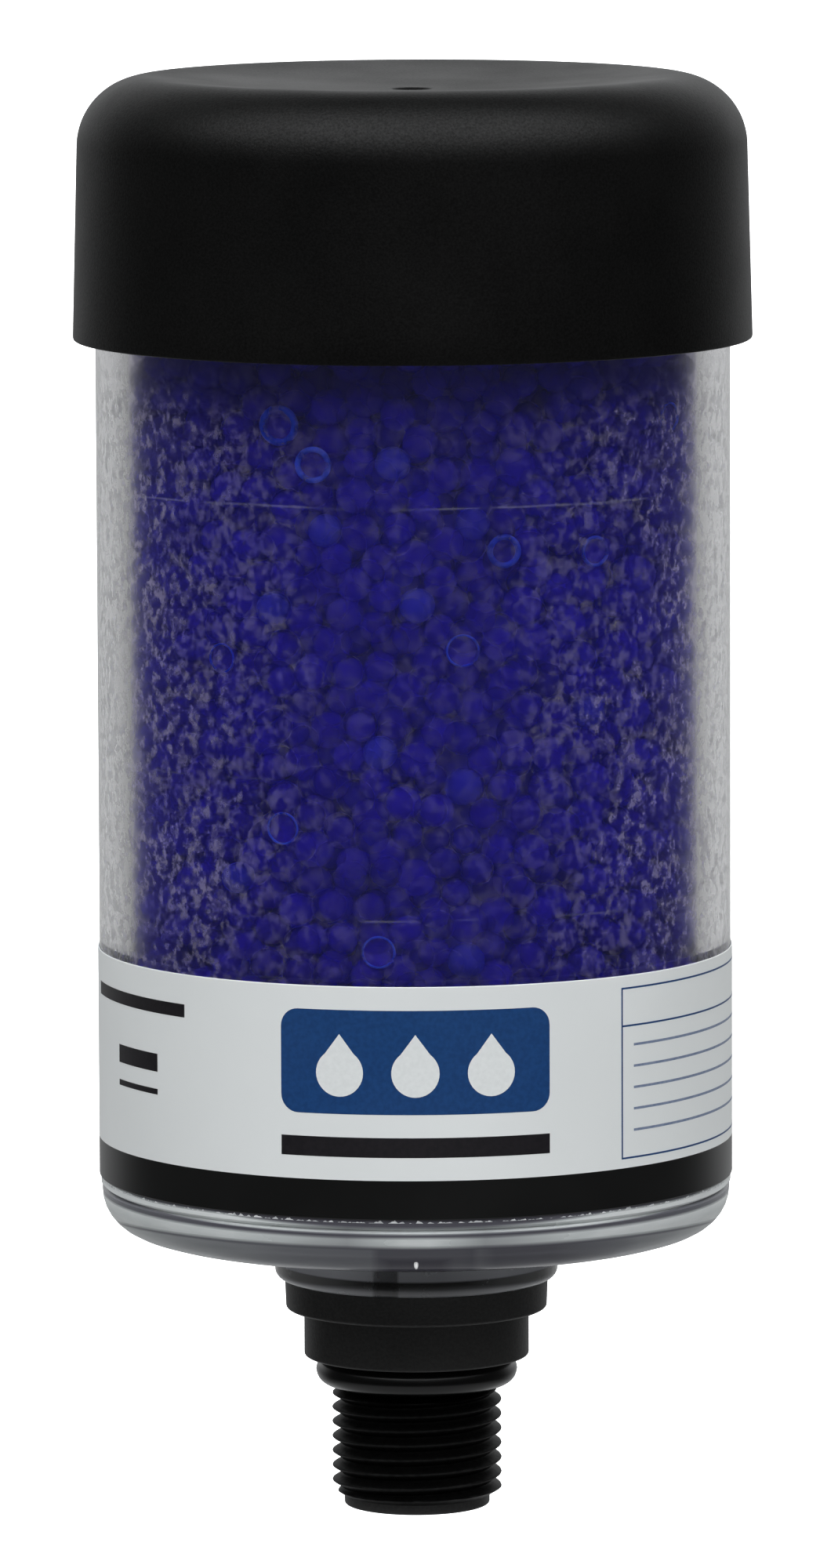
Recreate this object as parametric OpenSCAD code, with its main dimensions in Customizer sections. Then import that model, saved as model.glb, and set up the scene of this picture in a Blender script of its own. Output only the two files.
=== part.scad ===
// Desiccant breather: a clear cylinder of blue silica beads under a black cap, on a screwed stem.
// Millimetres, +Z up. The origin is on the axis, at the upper end of the thread, where the
// sealing ring meets the face of the port. The front, where the label is read, faces -Y.
// Air enters through the vents under the base, rises through the pads and the beads,
// turns over the rim of the standpipe and goes down through the bore of the stem.

/* [Stem] */
// Outside diameter of the G 1/2 parallel thread
thread_od = 20.955; // [18:0.005:23]
// Length of full thread
thread_length = 13; // [10:0.5:18]
// Length of the lead-in bevel below the thread
thread_bevel = 0.9; // [0.6:0.1:1.2]
// Length of the plain tip below the bevel
tip_length = 1.2; // [0.8:0.1:4]
// Depth of the relief that the sealing ring sits in, below the thread crests
relief_depth = 1.65; // [1.2:0.05:2]
// Diameter of the air bore
bore_d = 12.6; // [8:0.1:13]
// Diameter of the step above the sealing ring
step_od = 27.76; // [26.5:0.02:29]
// Height of the step
step_h = 5.95; // [3:0.05:9]
// Diameter of the flange under the neck
flange_od = 32.5; // [31:0.1:34]
// Height of the flange
flange_h = 3.75; // [2:0.05:6]
// Width of the key that stops the stem turning in the neck
key_w = 2.8; // [2:0.1:4]
// Direction of the key, to the left of the front
key_angle = 12.4; // [0:0.1:60]

/* [Seal] */
// Thickness of the round sealing ring
ring_section = 3.53; // [2.62:0.01:3.7]

/* [Base] */
// Height of the base from its underside to the joint with the tube
base_h = 5.8; // [5:0.1:9]
// Radius of the round lower edge
base_edge_r = 5.2; // [3:0.1:5.4]
// Thickness of the base's floor
base_floor = 3; // [2:0.1:4]
// Diameter of the neck under the base
neck_od = 34.9; // [34.2:0.1:38]
// Height of the neck
neck_h = 6.2; // [4:0.1:10]
// Wall of the neck
neck_wall = 4; // [3.4:0.1:4.6]
// Number of air vents under the base
vent_count = 6; // [4:1:8]
// Diameter of an air vent
vent_d = 5; // [3:0.1:6]

/* [Tube] */
// Outside diameter of the clear tube
tube_od = 77.6; // [74:0.1:82]
// Wall of the clear tube
tube_wall = 4; // [3:0.1:5]
// Length of the clear tube
tube_length = 127; // [100:0.5:180]

/* [Cap] */
// How far the cap's skirt reaches down the tube
cap_overlap = 22.8; // [16:0.1:23]
// Clear height from the tube's rim to the roof of the cap
head_room = 5.15; // [4:0.05:12]
// Wall of the skirt at its lower edge
skirt_wall = 2.68; // [2.4:0.01:4]
// How much the skirt narrows up to the shoulder
skirt_draft = 0.62; // [0:0.01:0.8]
// Radius of the shoulder
shoulder_r = 8.6; // [6:0.1:9]
// Depth of the dished top
dish_depth = 1.7; // [0.8:0.1:3]
// Wall of the shoulder and the dished top
cap_wall = 2.4; // [1.6:0.1:3]
// Number of ribs inside the cap
cap_ribs = 8; // [3:1:12]
// Diameter of the moulding gate's dimple in the dish
gate_d = 5; // [2:0.5:8]

/* [Label] */
// Height of the label
label_h = 28.75; // [15:0.25:45]
// Thickness of the label
label_t = 0.15; // [0.1:0.01:0.3]
// Height of bare tube under the label
label_lift = 0.8; // [0.6:0.1:6]

/* [Filling] */
// Diameter of a silica bead
bead_d = 4.4; // [4.2:0.1:6]
// Outside diameter of the standpipe
pipe_od = 16; // [15:0.1:18]
// Thickness of a felt filter
felt_t = 3; // [1:0.5:6]
// Thickness of a foam pad
foam_t = 6; // [3:0.5:12]
// Thickness of a grid
grid_t = 2.5; // [1.5:0.1:4]
// Number of spokes in a grid
grid_spokes = 12; // [6:1:16]

/* [Hidden] */
$fn = 96;
// Gaps, reveals and small edges
bond_gap = 0.05;
slide_gap = 0.2;
bed_gap = 0.15;
seal_play = 0.07;
overcut = 0.5;
groove_bevel = 0.35;
edge_bevel = 0.3;
edge_round = 1.2;
tip_step = 1.5;
base_setback = 0.15;
label_seam = 1.2;
gate_depth = 0.4;
dish_fn = 720;

// Stem, from the thread upwards
thread_r = thread_od / 2;
relief_r = thread_r - relief_depth;
tip_r = thread_r - tip_step;
tip_z = -thread_length - thread_bevel - tip_length;
bore_r = bore_d / 2;
step_z = ring_section + seal_play;
flange_z = step_z + step_h;
neck_z = flange_z + flange_h;
flange_draft = 0.15;

// Base and neck
neck_r = neck_od / 2;
neck_bore_r = neck_r - neck_wall;
base_z = neck_z + neck_h;
floor_z = base_z + base_floor;
joint_z = base_z + base_h;
base_r = tube_od / 2 - base_setback;
base_round = min(base_edge_r, base_h - groove_bevel);
hub_r = neck_bore_r - bond_gap;
key_r = hub_r + neck_wall / 2;

// Tube and label
tube_r = tube_od / 2;
tube_ir = tube_r - tube_wall;
tube_z = joint_z + tube_length;
spigot_wall = 2.4;
spigot_rise = 4.7;
spigot_r = tube_ir - bond_gap;
spigot_ir = spigot_r - spigot_wall;
label_z = joint_z + label_lift;

// Cap: the shoulder arc and the dish arc touch on the line through their centres
skirt_bore_r = tube_r + bond_gap;
skirt_r = skirt_bore_r + skirt_wall;
cap_z = tube_z - cap_overlap;
roof_z = tube_z + head_room;
cap_top = roof_z + cap_wall + dish_depth;
crest_r = skirt_r - skirt_draft - shoulder_r;
crest_z = cap_top - shoulder_r;
dish_r = (pow(crest_r, 2) + pow(dish_depth, 2)) / (2 * dish_depth) - shoulder_r;
dish_z = cap_top - dish_depth + dish_r;
dish_lean = asin(crest_r / (dish_r + shoulder_r));
shoulder_lap = 1;
rim_drop = 1.8;
rib_t = 1.6;
rib_clear = 2;

// Filling, from both ends inwards
spigot_z = joint_z + spigot_rise;
pad_r = tube_ir - slide_gap;
pipe_r = pipe_od / 2;
pipe_wall = 1.7;
pad_bore_r = pipe_r + slide_gap;
hub_drop = 2;
hub_z = spigot_z - hub_drop;
socket_depth = 8;
pipe_z = hub_z - socket_depth;
pipe_head = 4.4;
pipe_top = roof_z - pipe_head;
low_foam_z = spigot_z + grid_t;
low_felt_z = low_foam_z + foam_t;
bed_z = low_felt_z + felt_t;
high_grid_z = tube_z - rim_drop - grid_t;
high_foam_z = high_grid_z - foam_t;
high_felt_z = high_foam_z - felt_t;
bed_top = high_felt_z;

// Beads that show on the outside of the bed, in staggered rows behind the clear window
bed_r = tube_ir - bed_gap;
bead_sink = 0.45 * bead_d;
valley_r = bed_r - bead_sink;
beads_round = floor(2 * PI * bed_r / bead_d);
half_step = 180 / beads_round;
row_h = bead_d * sqrt(3) / 2;
window_margin = 3;
window_z = max(bed_z, label_z + label_h - window_margin);
window_top = min(bed_top, cap_z + window_margin);
bead_rows = floor((window_top - window_z) / row_h) - 1;
ring_points = 2 * beads_round;

function polar(r, angle, z) = [r * cos(angle), r * sin(angle), z];
function level_ring(r, z) = [for (k = [0 : ring_points - 1]) polar(r, k * half_step, z)];
function row_z(row) = window_z + (row + 1) * row_h;

// The zigzag of hollows under a row of beads
function hollow_ring(row) = [
    for (k = [0 : ring_points - 1])
        polar(valley_r, k * half_step, row_z(row) - row_h * ((k + row) % 2 == 0 ? 2 / 3 : 1 / 3))
];
function bead_tips(row) = [
    for (i = [0 : beads_round - 1])
        polar(bed_r, (2 * i + row % 2) * half_step, row_z(row))
];
function ring_index(ring, k) = ring * ring_points + (k + ring_points) % ring_points;

// Quads between two rings, and the six facets round one bead
function band(low, high) = [
    for (k = [0 : ring_points - 1])
        [ring_index(low, k), ring_index(high, k), ring_index(high, k + 1), ring_index(low, k + 1)]
];
function bead_outline(ring, k) = [
    ring_index(ring, k - 1), ring_index(ring + 1, k - 1), ring_index(ring + 1, k),
    ring_index(ring + 1, k + 1), ring_index(ring, k + 1), ring_index(ring, k)
];
function bead_facets(tip, outline) = [for (m = [0 : 5]) [tip, outline[m], outline[(m + 1) % 6]]];

// A box of a revolved section, from radius r0 to r1 and from height z0 to z1
module section(r0, r1, z0, z1) {
    translate([r0, z0])
        square([r1 - r0, z1 - z0]);
}

// What is taken off a section's outer lower corner at (r, z) to round it
module lower_round(r, z, radius) {
    difference() {
        section(r - radius, r + overcut, z - overcut, z + radius);
        translate([r - radius, z + radius])
            circle(radius);
    }
}

module pipe(r_out, r_in, z0, z1) {
    rotate_extrude()
        section(r_in, r_out, z0, z1);
}

// Outline of the cap, moved inwards by inset. The shoulder laps over the dished part below
// the point where their arcs touch.
module cap_outline(inset) {
    arc_r = shoulder_r - inset;
    reach = arc_r + dish_depth + overcut;
    apex = [crest_r - reach * sin(dish_lean), crest_z + reach * cos(dish_lean)];
    wall_r = skirt_r - inset;
    top_wall_r = crest_r + arc_r;
    touch = [crest_r - arc_r * sin(dish_lean), crest_z + arc_r * cos(dish_lean)];
    lap = [crest_r - shoulder_lap, crest_z];
    difference() {
        polygon([[0, cap_z], [wall_r, cap_z], [top_wall_r, crest_z], [crest_r, crest_z], apex, [0, apex.y]]);
        translate([0, dish_z])
            circle(dish_r + inset, $fn = dish_fn);
    }
    intersection() {
        translate([crest_r, crest_z])
            circle(arc_r);
        polygon([
            lap, [wall_r + overcut, crest_z], [wall_r + overcut, apex.y + overcut],
            touch + 0.4 * (touch - lap)
        ]);
    }
}

// A rib stands on the upper grid and, further out, on the rim of the tube
module cap_rib() {
    inner = pipe_r + rib_clear;
    translate([inner, -rib_t / 2, tube_z - rim_drop])
        cube([pad_r - inner, rib_t, cap_top - tube_z + rim_drop]);
    translate([inner, -rib_t / 2, tube_z])
        cube([skirt_r - inner, rib_t, cap_top - tube_z]);
}

module cap() {
    color("#232325") {
        difference() {
            rotate_extrude()
                difference() {
                    cap_outline(0);
                    lower_round(skirt_r, cap_z, edge_bevel);
                }
            rotate_extrude()
                difference() {
                    cap_outline(cap_wall);
                    section(0, skirt_r, cap_z - overcut, tube_z);
                }
            translate([0, 0, cap_z - overcut])
                cylinder(r = skirt_bore_r, h = tube_z - cap_z + overcut);
            translate([0, 0, cap_top - dish_depth - gate_depth])
                cylinder(d1 = gate_d - 2 * gate_depth, d2 = gate_d, h = gate_depth + overcut);
        }
        intersection() {
            for (k = [0 : cap_ribs - 1])
                rotate(k * 360 / cap_ribs + 180 / cap_ribs)
                    cap_rib();
            rotate_extrude()
                cap_outline(cap_wall / 2);
        }
    }
}

module tube() {
    color("#dfe8ee", 0.4)
        rotate_extrude()
            polygon([
                [tube_ir, joint_z], [tube_r - groove_bevel, joint_z], [tube_r, joint_z + groove_bevel],
                [tube_r, tube_z], [tube_ir, tube_z]
            ]);
}

// A printed strip round the tube, with its seam at the back
module label() {
    color("#f4f5f6")
        difference() {
            pipe(tube_r + bond_gap + label_t, tube_r + bond_gap, label_z, label_z + label_h);
            translate([-label_seam / 2, 0, label_z - overcut])
                cube([label_seam, tube_od, label_h + 2 * overcut]);
        }
}

module base_section() {
    difference() {
        union() {
            section(neck_bore_r, base_r, base_z, joint_z);
            section(neck_bore_r, neck_r, neck_z, floor_z);
            section(spigot_ir, spigot_r, floor_z, spigot_z);
        }
        section(neck_bore_r - overcut, spigot_ir, floor_z, spigot_z);
        lower_round(base_r, base_z, base_round);
        lower_round(neck_r, neck_z, edge_round);
        polygon([
            [base_r - groove_bevel, joint_z], [base_r + overcut, joint_z - groove_bevel - overcut],
            [base_r + overcut, joint_z + overcut], [base_r - groove_bevel, joint_z + overcut]
        ]);
    }
}

module base() {
    vent_r = (neck_r + spigot_ir) / 2;
    color("#d8e0e6", 0.5)
        difference() {
            rotate_extrude()
                base_section();
            for (k = [0 : vent_count - 1])
                rotate(-90 + k * 360 / vent_count)
                    translate([vent_r, 0, base_z - overcut])
                        cylinder(d = vent_d, h = base_floor + 2 * overcut);
            key_bar(key_w + 2 * bond_gap, key_r + bond_gap, neck_z - overcut, floor_z + overcut);
        }
}

// A radial bar from the hub out to radius r, in the key's direction
module key_bar(width, r, z0, z1) {
    rotate(-90 - key_angle)
        translate([hub_r - 1, -width / 2, z0])
            cube([r - hub_r + 1, width, z1 - z0]);
}

module stem_section() {
    difference() {
        union() {
            section(bore_r, hub_r, neck_z, hub_z);
            polygon([
                [bore_r, flange_z], [flange_od / 2 - flange_draft - edge_bevel, flange_z],
                [flange_od / 2 - flange_draft, flange_z + edge_bevel],
                [flange_od / 2, neck_z], [bore_r, neck_z]
            ]);
            section(bore_r, step_od / 2, step_z, flange_z);
            section(bore_r, relief_r, 0, step_z);
            polygon([
                [bore_r, 0], [thread_r, 0], [thread_r, -thread_length],
                [tip_r, -thread_length - thread_bevel], [tip_r, tip_z], [bore_r, tip_z]
            ]);
        }
        section(bore_r - overcut, pipe_r + bond_gap, pipe_z, hub_z + overcut);
        lower_round(step_od / 2, step_z, edge_bevel);
        lower_round(tip_r, tip_z, edge_bevel);
    }
}

// The thread is a plain cylinder at its outside diameter
module threaded_stem() {
    color("#1e1e20") {
        rotate_extrude()
            stem_section();
        key_bar(key_w, key_r, neck_z, floor_z);
    }
}

module sealing_ring() {
    color("#151516")
        rotate_extrude()
            translate([relief_r + bond_gap + ring_section / 2, step_z / 2])
                circle(d = ring_section);
}

module standpipe() {
    color("#e9e9e4")
        pipe(pipe_r, pipe_r - pipe_wall, pipe_z, pipe_top);
}

// A moulded grid: three rings on radial spokes
module grid(z) {
    ring_w = 2.4;
    middle_r = (pad_r + pad_bore_r) / 2;
    color("#e4e6e4") {
        pipe(pad_bore_r + ring_w, pad_bore_r, z, z + grid_t);
        pipe(middle_r + ring_w / 2, middle_r - ring_w / 2, z, z + grid_t);
        pipe(pad_r, pad_r - ring_w, z, z + grid_t);
        for (k = [0 : grid_spokes - 1])
            rotate(k * 360 / grid_spokes)
                translate([pad_bore_r + ring_w / 2, -rib_t / 2, z])
                    cube([pad_r - pad_bore_r - ring_w, rib_t, grid_t]);
    }
}

// A round pad with a hole for the standpipe
module pad(z, thickness) {
    pipe(pad_r, pad_bore_r, z, z + thickness);
}

module lower_grid() grid(spigot_z);

module lower_foam() color("#3a3c40") pad(low_foam_z, foam_t);

module lower_filter() color("#f2f1ec") pad(low_felt_z, felt_t);

// The filling as one solid, with the beads that touch the tube standing out of it
module silica_bed() {
    hollows = bead_rows + 1;
    top_ring = hollows + 2;
    first_tip = (top_ring + 2) * ring_points;
    points = concat(
        level_ring(pad_bore_r, bed_z),
        level_ring(valley_r, bed_z),
        [for (row = [0 : bead_rows]) each hollow_ring(row)],
        level_ring(valley_r, bed_top),
        level_ring(pad_bore_r, bed_top),
        [for (row = [0 : bead_rows - 1]) each bead_tips(row)]
    );
    faces = concat(
        band(0, 1), band(1, 2), band(top_ring - 1, top_ring),
        band(top_ring, top_ring + 1), band(top_ring + 1, 0),
        [for (row = [0 : bead_rows - 1], i = [0 : beads_round - 1])
            each bead_facets(first_tip + row * beads_round + i, bead_outline(row + 2, 2 * i + row % 2))]
    );
    color("#2b2a9a")
        polyhedron(points, faces);
}

module upper_filter() color("#f2f1ec") pad(high_felt_z, felt_t);

module upper_foam() color("#3a3c40") pad(high_foam_z, foam_t);

module upper_grid() grid(high_grid_z);

cap();
tube();
label();
base();
threaded_stem();
sealing_ring();
standpipe();
lower_grid();
lower_foam();
lower_filter();
silica_bed();
upper_filter();
upper_foam();
upper_grid();
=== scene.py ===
"""Looks of the desiccant breather: lathed shells, a real thread, loose beads and procedural materials."""
import math

import bmesh
import bpy
import numpy as np
from mathutils import Matrix, Vector, noise


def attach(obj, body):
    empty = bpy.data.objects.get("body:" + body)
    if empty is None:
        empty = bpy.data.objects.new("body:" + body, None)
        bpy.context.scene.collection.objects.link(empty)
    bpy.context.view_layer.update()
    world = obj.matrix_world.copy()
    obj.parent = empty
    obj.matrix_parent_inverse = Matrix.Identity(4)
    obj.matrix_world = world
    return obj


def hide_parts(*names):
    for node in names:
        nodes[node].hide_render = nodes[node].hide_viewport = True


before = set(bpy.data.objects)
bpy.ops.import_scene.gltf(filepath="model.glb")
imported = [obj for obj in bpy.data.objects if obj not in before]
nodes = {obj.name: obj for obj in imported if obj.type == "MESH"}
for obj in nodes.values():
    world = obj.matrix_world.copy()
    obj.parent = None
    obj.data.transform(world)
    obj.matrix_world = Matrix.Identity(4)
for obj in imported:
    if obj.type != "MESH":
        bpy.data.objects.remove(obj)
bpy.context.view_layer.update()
MM = 0.001
TAU = 2 * math.pi

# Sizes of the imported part, in millimetres
TUBE_R, TUBE_IR, TUBE_Z0, TUBE_Z1 = 38.8, 34.8, 25.3, 152.3
CAP_R, CAP_BORE, CAP_Z, CAP_TOP, CAP_WALL = 41.53, 38.85, 129.5, 161.55, 2.4
CREST_R, CREST_Z, SHOULDER_R, DISH_DEPTH = 32.31, 152.95, 8.6, 1.7
BASE_R, BASE_Z, FLOOR_Z = 38.65, 19.5, 22.5
SPIGOT_R, SPIGOT_IR, SPIGOT_Z1 = 34.75, 32.35, 30.0
NECK_R, NECK_BORE, NECK_Z = 17.45, 13.45, 13.3
THREAD_R, PITCH, THREAD_DEPTH = 10.4775, 1.814, 1.162
LABEL_R, LABEL_Z1, STRIPE_Z = 39.0, 54.85, 31.4
BED_Z0, BED_Z1 = 41.5, 139.0
KEY_ANGLE = math.radians(-102.4)

# Tube and base have this bevel where they meet, so that the bonded joint is a V-groove
BEVEL = 0.35

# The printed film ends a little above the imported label's lower edge at 26.1, and adhesive shows below it
LABEL_Z0 = 26.1 + 0.55


# Mesh helpers

def new_object(name, data):
    obj = bpy.data.objects.new(name, data)
    bpy.context.scene.collection.objects.link(obj)
    return obj


def shade_smooth(mesh, sharp=32):
    """Smooth shading, with sharp edges above an angle in degrees."""
    mesh.polygons.foreach_set("use_smooth", [True] * len(mesh.polygons))
    mesh.set_sharp_from_angle(angle=math.radians(sharp))


def make_object(name, verts, faces, sharp=32):
    """An object from vertices in millimetres. It stays flat shaded if sharp is None."""
    mesh = bpy.data.meshes.new(name)
    mesh.from_pydata([tuple(c * MM for c in v) for v in verts], [], faces)
    mesh.update()
    if sharp is not None:
        shade_smooth(mesh, sharp)
    return new_object(name, mesh)


def lathe(profile, steps, closed=True, start=0.0, sweep=TAU):
    """Vertices and quads of a profile of (r, z) turned about the axis. Points on the axis become poles."""
    whole = abs(sweep - TAU) < 1e-9
    columns = steps if whole else steps + 1
    verts, rings = [], []
    for r, z in profile:
        if r < 1e-6:
            rings.append([len(verts)] * columns)
            verts.append((0.0, 0.0, z))
        else:
            rings.append(list(range(len(verts), len(verts) + columns)))
            for k in range(columns):
                a = start + sweep * k / steps
                verts.append((r * math.cos(a), r * math.sin(a), z))
    faces = []
    count = len(profile)
    for i in range(count if closed else count - 1):
        low, high = rings[i], rings[(i + 1) % count]
        for k in range(steps):
            n = (k + 1) % columns
            face = [low[k], low[n], high[n], high[k]]
            face = [v for j, v in enumerate(face) if v != face[j - 1]]
            if len(face) > 2:
                faces.append(face)
    return verts, faces


def arc(cr, cz, radius, a0, a1, count):
    """Points on an arc about (cr, cz), from a0 to a1 degrees."""
    angles = [math.radians(a0 + (a1 - a0) * k / count) for k in range(count + 1)]
    return [(cr + radius * math.cos(a), cz + radius * math.sin(a)) for a in angles]


def rounded(points, count=5):
    """A closed outline of (r, z, radius) with rounded corners.

    A point beside each corner keeps the shading of the straight runs flat.
    """
    out = []
    size = len(points)
    for i, (r, z, radius) in enumerate(points):
        here = Vector((r, z))
        if radius <= 0:
            out.append((r, z))
            continue
        before = Vector(points[i - 1][:2]) - here
        after = Vector(points[(i + 1) % size][:2]) - here
        half = before.angle(after) / 2
        reach = radius / math.tan(half)
        p0, p1 = here + before.normalized() * reach, here + after.normalized() * reach
        centre = here + (before.normalized() + after.normalized()).normalized() * (radius / math.sin(half))
        v0, v1 = p0 - centre, p1 - centre
        turn = v0.angle_signed(v1)
        beside = min(0.3 * radius, 0.05)
        out.append(tuple(p0 + before.normalized() * beside))
        for k in range(count + 1):
            v = Matrix.Rotation(-turn * k / count, 2) @ v0
            out.append((centre.x + v.x, centre.y + v.y))
        out.append(tuple(p1 + after.normalized() * beside))
    return out


def box_mesh(x0, x1, y0, y1, z0, z1, angle):
    """Corners and faces of a box, turned about the axis."""
    c, s = math.cos(angle), math.sin(angle)
    verts = [
        (c * x - s * y, s * x + c * y, z)
        for z in (z0, z1) for x, y in ((x0, y0), (x1, y0), (x1, y1), (x0, y1))
    ]
    faces = [[3, 2, 1, 0], [4, 5, 6, 7], [0, 1, 5, 4], [1, 2, 6, 5], [2, 3, 7, 6], [3, 0, 4, 7]]
    return verts, faces


def rod(r, z0, z1, x, y, steps=48):
    """Vertices and faces of a closed upright cylinder at (x, y)."""
    verts, faces = lathe([(0, z0), (r, z0), (r, z1), (0, z1)], steps, closed=False)
    return [(vx + x, vy + y, vz) for vx, vy, vz in verts], faces


def joined(parts):
    """Several meshes as one list of vertices and one of faces."""
    verts, faces = [], []
    for v, f in parts:
        shift = len(verts)
        verts += v
        faces += [[i + shift for i in face] for face in f]
    return verts, faces


def cut(obj, parts):
    """Cuts closed shells out of obj, by an exact boolean that is applied at once."""
    tool = make_object("tool", *joined(parts), sharp=None)
    mod = obj.modifiers.new("cut", "BOOLEAN")
    mod.operation, mod.solver, mod.object = "DIFFERENCE", "EXACT", tool
    dg = bpy.context.evaluated_depsgraph_get()
    mesh = bpy.data.meshes.new_from_object(obj.evaluated_get(dg))
    obj.modifiers.clear()
    old = obj.data
    obj.data = mesh
    bpy.data.meshes.remove(old)
    bpy.data.objects.remove(tool)
    shade_smooth(mesh)


def finish_piece(obj, mats, slot, *replaced):
    """Gives a piece its materials and its body, and hides the nodes that it replaces. The slot argument is
    not used.
    """
    for mat in mats:
        obj.data.materials.append(mat)
    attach(obj, "root")
    if replaced:
        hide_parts(*replaced)


# Material helpers. Positions in them are in metres

def input_name(key):
    """The shader's name for an input, such as Base Color for base_color."""
    return key.replace("_", " ").title().replace("Ior", "IOR")


def material(name, **sockets):
    """A material with input values of its shader given by name."""
    mat = bpy.data.materials.new(name)
    mat.use_nodes = True
    tree = mat.node_tree
    bsdf = tree.nodes["Principled BSDF"]
    for key, value in sockets.items():
        bsdf.inputs[input_name(key)].default_value = value
    return mat, tree, bsdf


def drive(tree, bsdf, **sockets):
    """Links sockets to the inputs of a shader, given by name."""
    for key, socket in sockets.items():
        tree.links.new(socket, bsdf.inputs[input_name(key)])


def add(tree, kind, links=(), **values):
    """A node with its settings, input values by name, and links given as (socket, input name)."""
    node = tree.nodes.new(kind)
    for key, value in values.items():
        if hasattr(node, key):
            setattr(node, key, value)
        else:
            node.inputs[key.replace("_", " ")].default_value = value
    for socket, name in links:
        tree.links.new(socket, node.inputs[name])
    return node


def coordinates(tree, scale=(1, 1, 1)):
    """The part's own coordinates, stretched by a scale."""
    coord = add(tree, "ShaderNodeTexCoord")
    mapping = add(tree, "ShaderNodeMapping", [(coord.outputs["Object"], "Vector")])
    mapping.inputs["Scale"].default_value = scale
    return mapping.outputs["Vector"]


def grain(tree, scale, detail, stretch=(1, 1, 1), rough=0.5):
    """Soft noise, with a scale per metre."""
    return add(tree, "ShaderNodeTexNoise", [(coordinates(tree, stretch), "Vector")],
               Scale=scale, Detail=detail, Roughness=rough).outputs["Fac"]


def cells(tree, scale):
    """A cellular pattern, by the distance to the nearest of scattered points."""
    node = add(tree, "ShaderNodeTexVoronoi", [(coordinates(tree), "Vector")], Scale=scale)
    return node.outputs["Distance"]


def ramp(tree, fac, stops):
    """Colour by stops of (position, colour)."""
    node = add(tree, "ShaderNodeValToRGB", [(fac, "Fac")])
    elements = node.color_ramp.elements
    for element, (position, colour) in ((elements[0], stops[0]), (elements[1], stops[-1])):
        element.position, element.color = position, (*colour, 1)
    for position, colour in stops[1:-1]:
        elements.new(position).color = (*colour, 1)
    return node.outputs["Color"]


def spread(tree, fac, low, high, start=0.3, end=0.7):
    """A value that goes from low to high while fac goes from start to end."""
    return add(tree, "ShaderNodeMapRange", [(fac, "Value")], From_Min=start, From_Max=end,
               To_Min=low, To_Max=high).outputs["Result"]


def blend(tree, fac, low, high):
    """A value that goes from low to high while fac goes from 0 to 1."""
    return spread(tree, fac, low, high, 0.0, 1.0)


def bump(tree, bsdf, height, strength, depth):
    """Fine relief in the shading."""
    node = add(tree, "ShaderNodeBump", [(height, "Height")], Strength=strength, Distance=depth)
    drive(tree, bsdf, normal=node.outputs["Normal"])


def combine(tree, operation, *sockets):
    """One value from several, taken two at a time."""
    result = sockets[0]
    for socket in sockets[1:]:
        result = add(tree, "ShaderNodeMath", [(result, 0), (socket, 1)], operation=operation).outputs[0]
    return result


def axis_value(tree, axis):
    """One of the part's own coordinates."""
    return add(tree, "ShaderNodeSeparateXYZ", [(coordinates(tree), "Vector")]).outputs[axis]


def distance(tree, value, centre):
    """How far a value is from a centre."""
    shifted = add(tree, "ShaderNodeMath", [(value, 0)], operation="SUBTRACT")
    shifted.inputs[1].default_value = centre
    return add(tree, "ShaderNodeMath", [(shifted.outputs[0], 0)], operation="ABSOLUTE").outputs[0]


def across(tree):
    """Distance from the plane through the front and the back."""
    return distance(tree, axis_value(tree, "X"), 0.0)


def grey(v):
    return (v, v, v)


# Materials that several pieces share

def cloudy(name, cloud, colours, rough=None, fine=None, **sockets):
    """A material that drifts between two colours. Roughness may drift too, and a fine relief may be added."""
    mat, tree, bsdf = material(name, **sockets)
    drift = grain(tree, *cloud)
    low, high = colours
    drive(tree, bsdf, base_color=ramp(tree, drift, [(0.3, low), (0.7, high)]))
    if rough:
        drive(tree, bsdf, roughness=spread(tree, drift, *rough))
    if fine:
        scale, detail, strength, depth = fine
        bump(tree, bsdf, grain(tree, scale, detail), strength, depth)
    return mat


def black_plastic(name, low, high, rough, grain_scale, strength, gloss):
    """Moulded black plastic with a spark-eroded grain and faint cloudy wear."""
    mat, tree, bsdf = material(name)
    cloud = grain(tree, 55, 4)
    fine = grain(tree, grain_scale, 2)
    drive(tree, bsdf,
          specular_ior_level=spread(tree, fine, 0.7 * gloss, 1.3 * gloss),
          base_color=ramp(tree, cloud, [(0.3, low), (0.72, high)]),
          roughness=spread(tree, cloud, rough - 0.04, rough + 0.05))
    bump(tree, bsdf, fine, strength, 0.00006)
    return mat


CLEAR_IOR, JOINT_IOR = 1.57, 1.5


def clear_plastic(name, tint, rough, clarity):
    """Clear moulded plastic with faint flow waves and a little dust."""
    mat, tree, bsdf = material(name, base_color=(*tint, 1), ior=CLEAR_IOR, specular_ior_level=0.3)
    dust = grain(tree, 420, 5, rough=0.65)
    drive(tree, bsdf,
          transmission_weight=spread(tree, dust, 1.0, clarity, 0.5, 0.85),
          roughness=spread(tree, dust, rough, rough + 0.05, 0.5, 0.85))
    wave = grain(tree, 60, 2, (1, 1, 0.06))
    bump(tree, bsdf, wave, 0.035, 0.0004)
    return mat, tree, bsdf


# Frosted rim of the bonded joint, on the tube's lower end and the base's wall, with painted light: the light
# and shade seen through the wall are painted into its colour as bands, a sheen and a shadow

FROST_AND_LIGHT_STOPS = [(0.0, (0.070, 0.066, 0.086)), (0.3, (0.20, 0.205, 0.225)),
               (0.86, (0.76, 0.80, 0.80)), (1.0, (0.97, 1.0, 1.0))]


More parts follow.
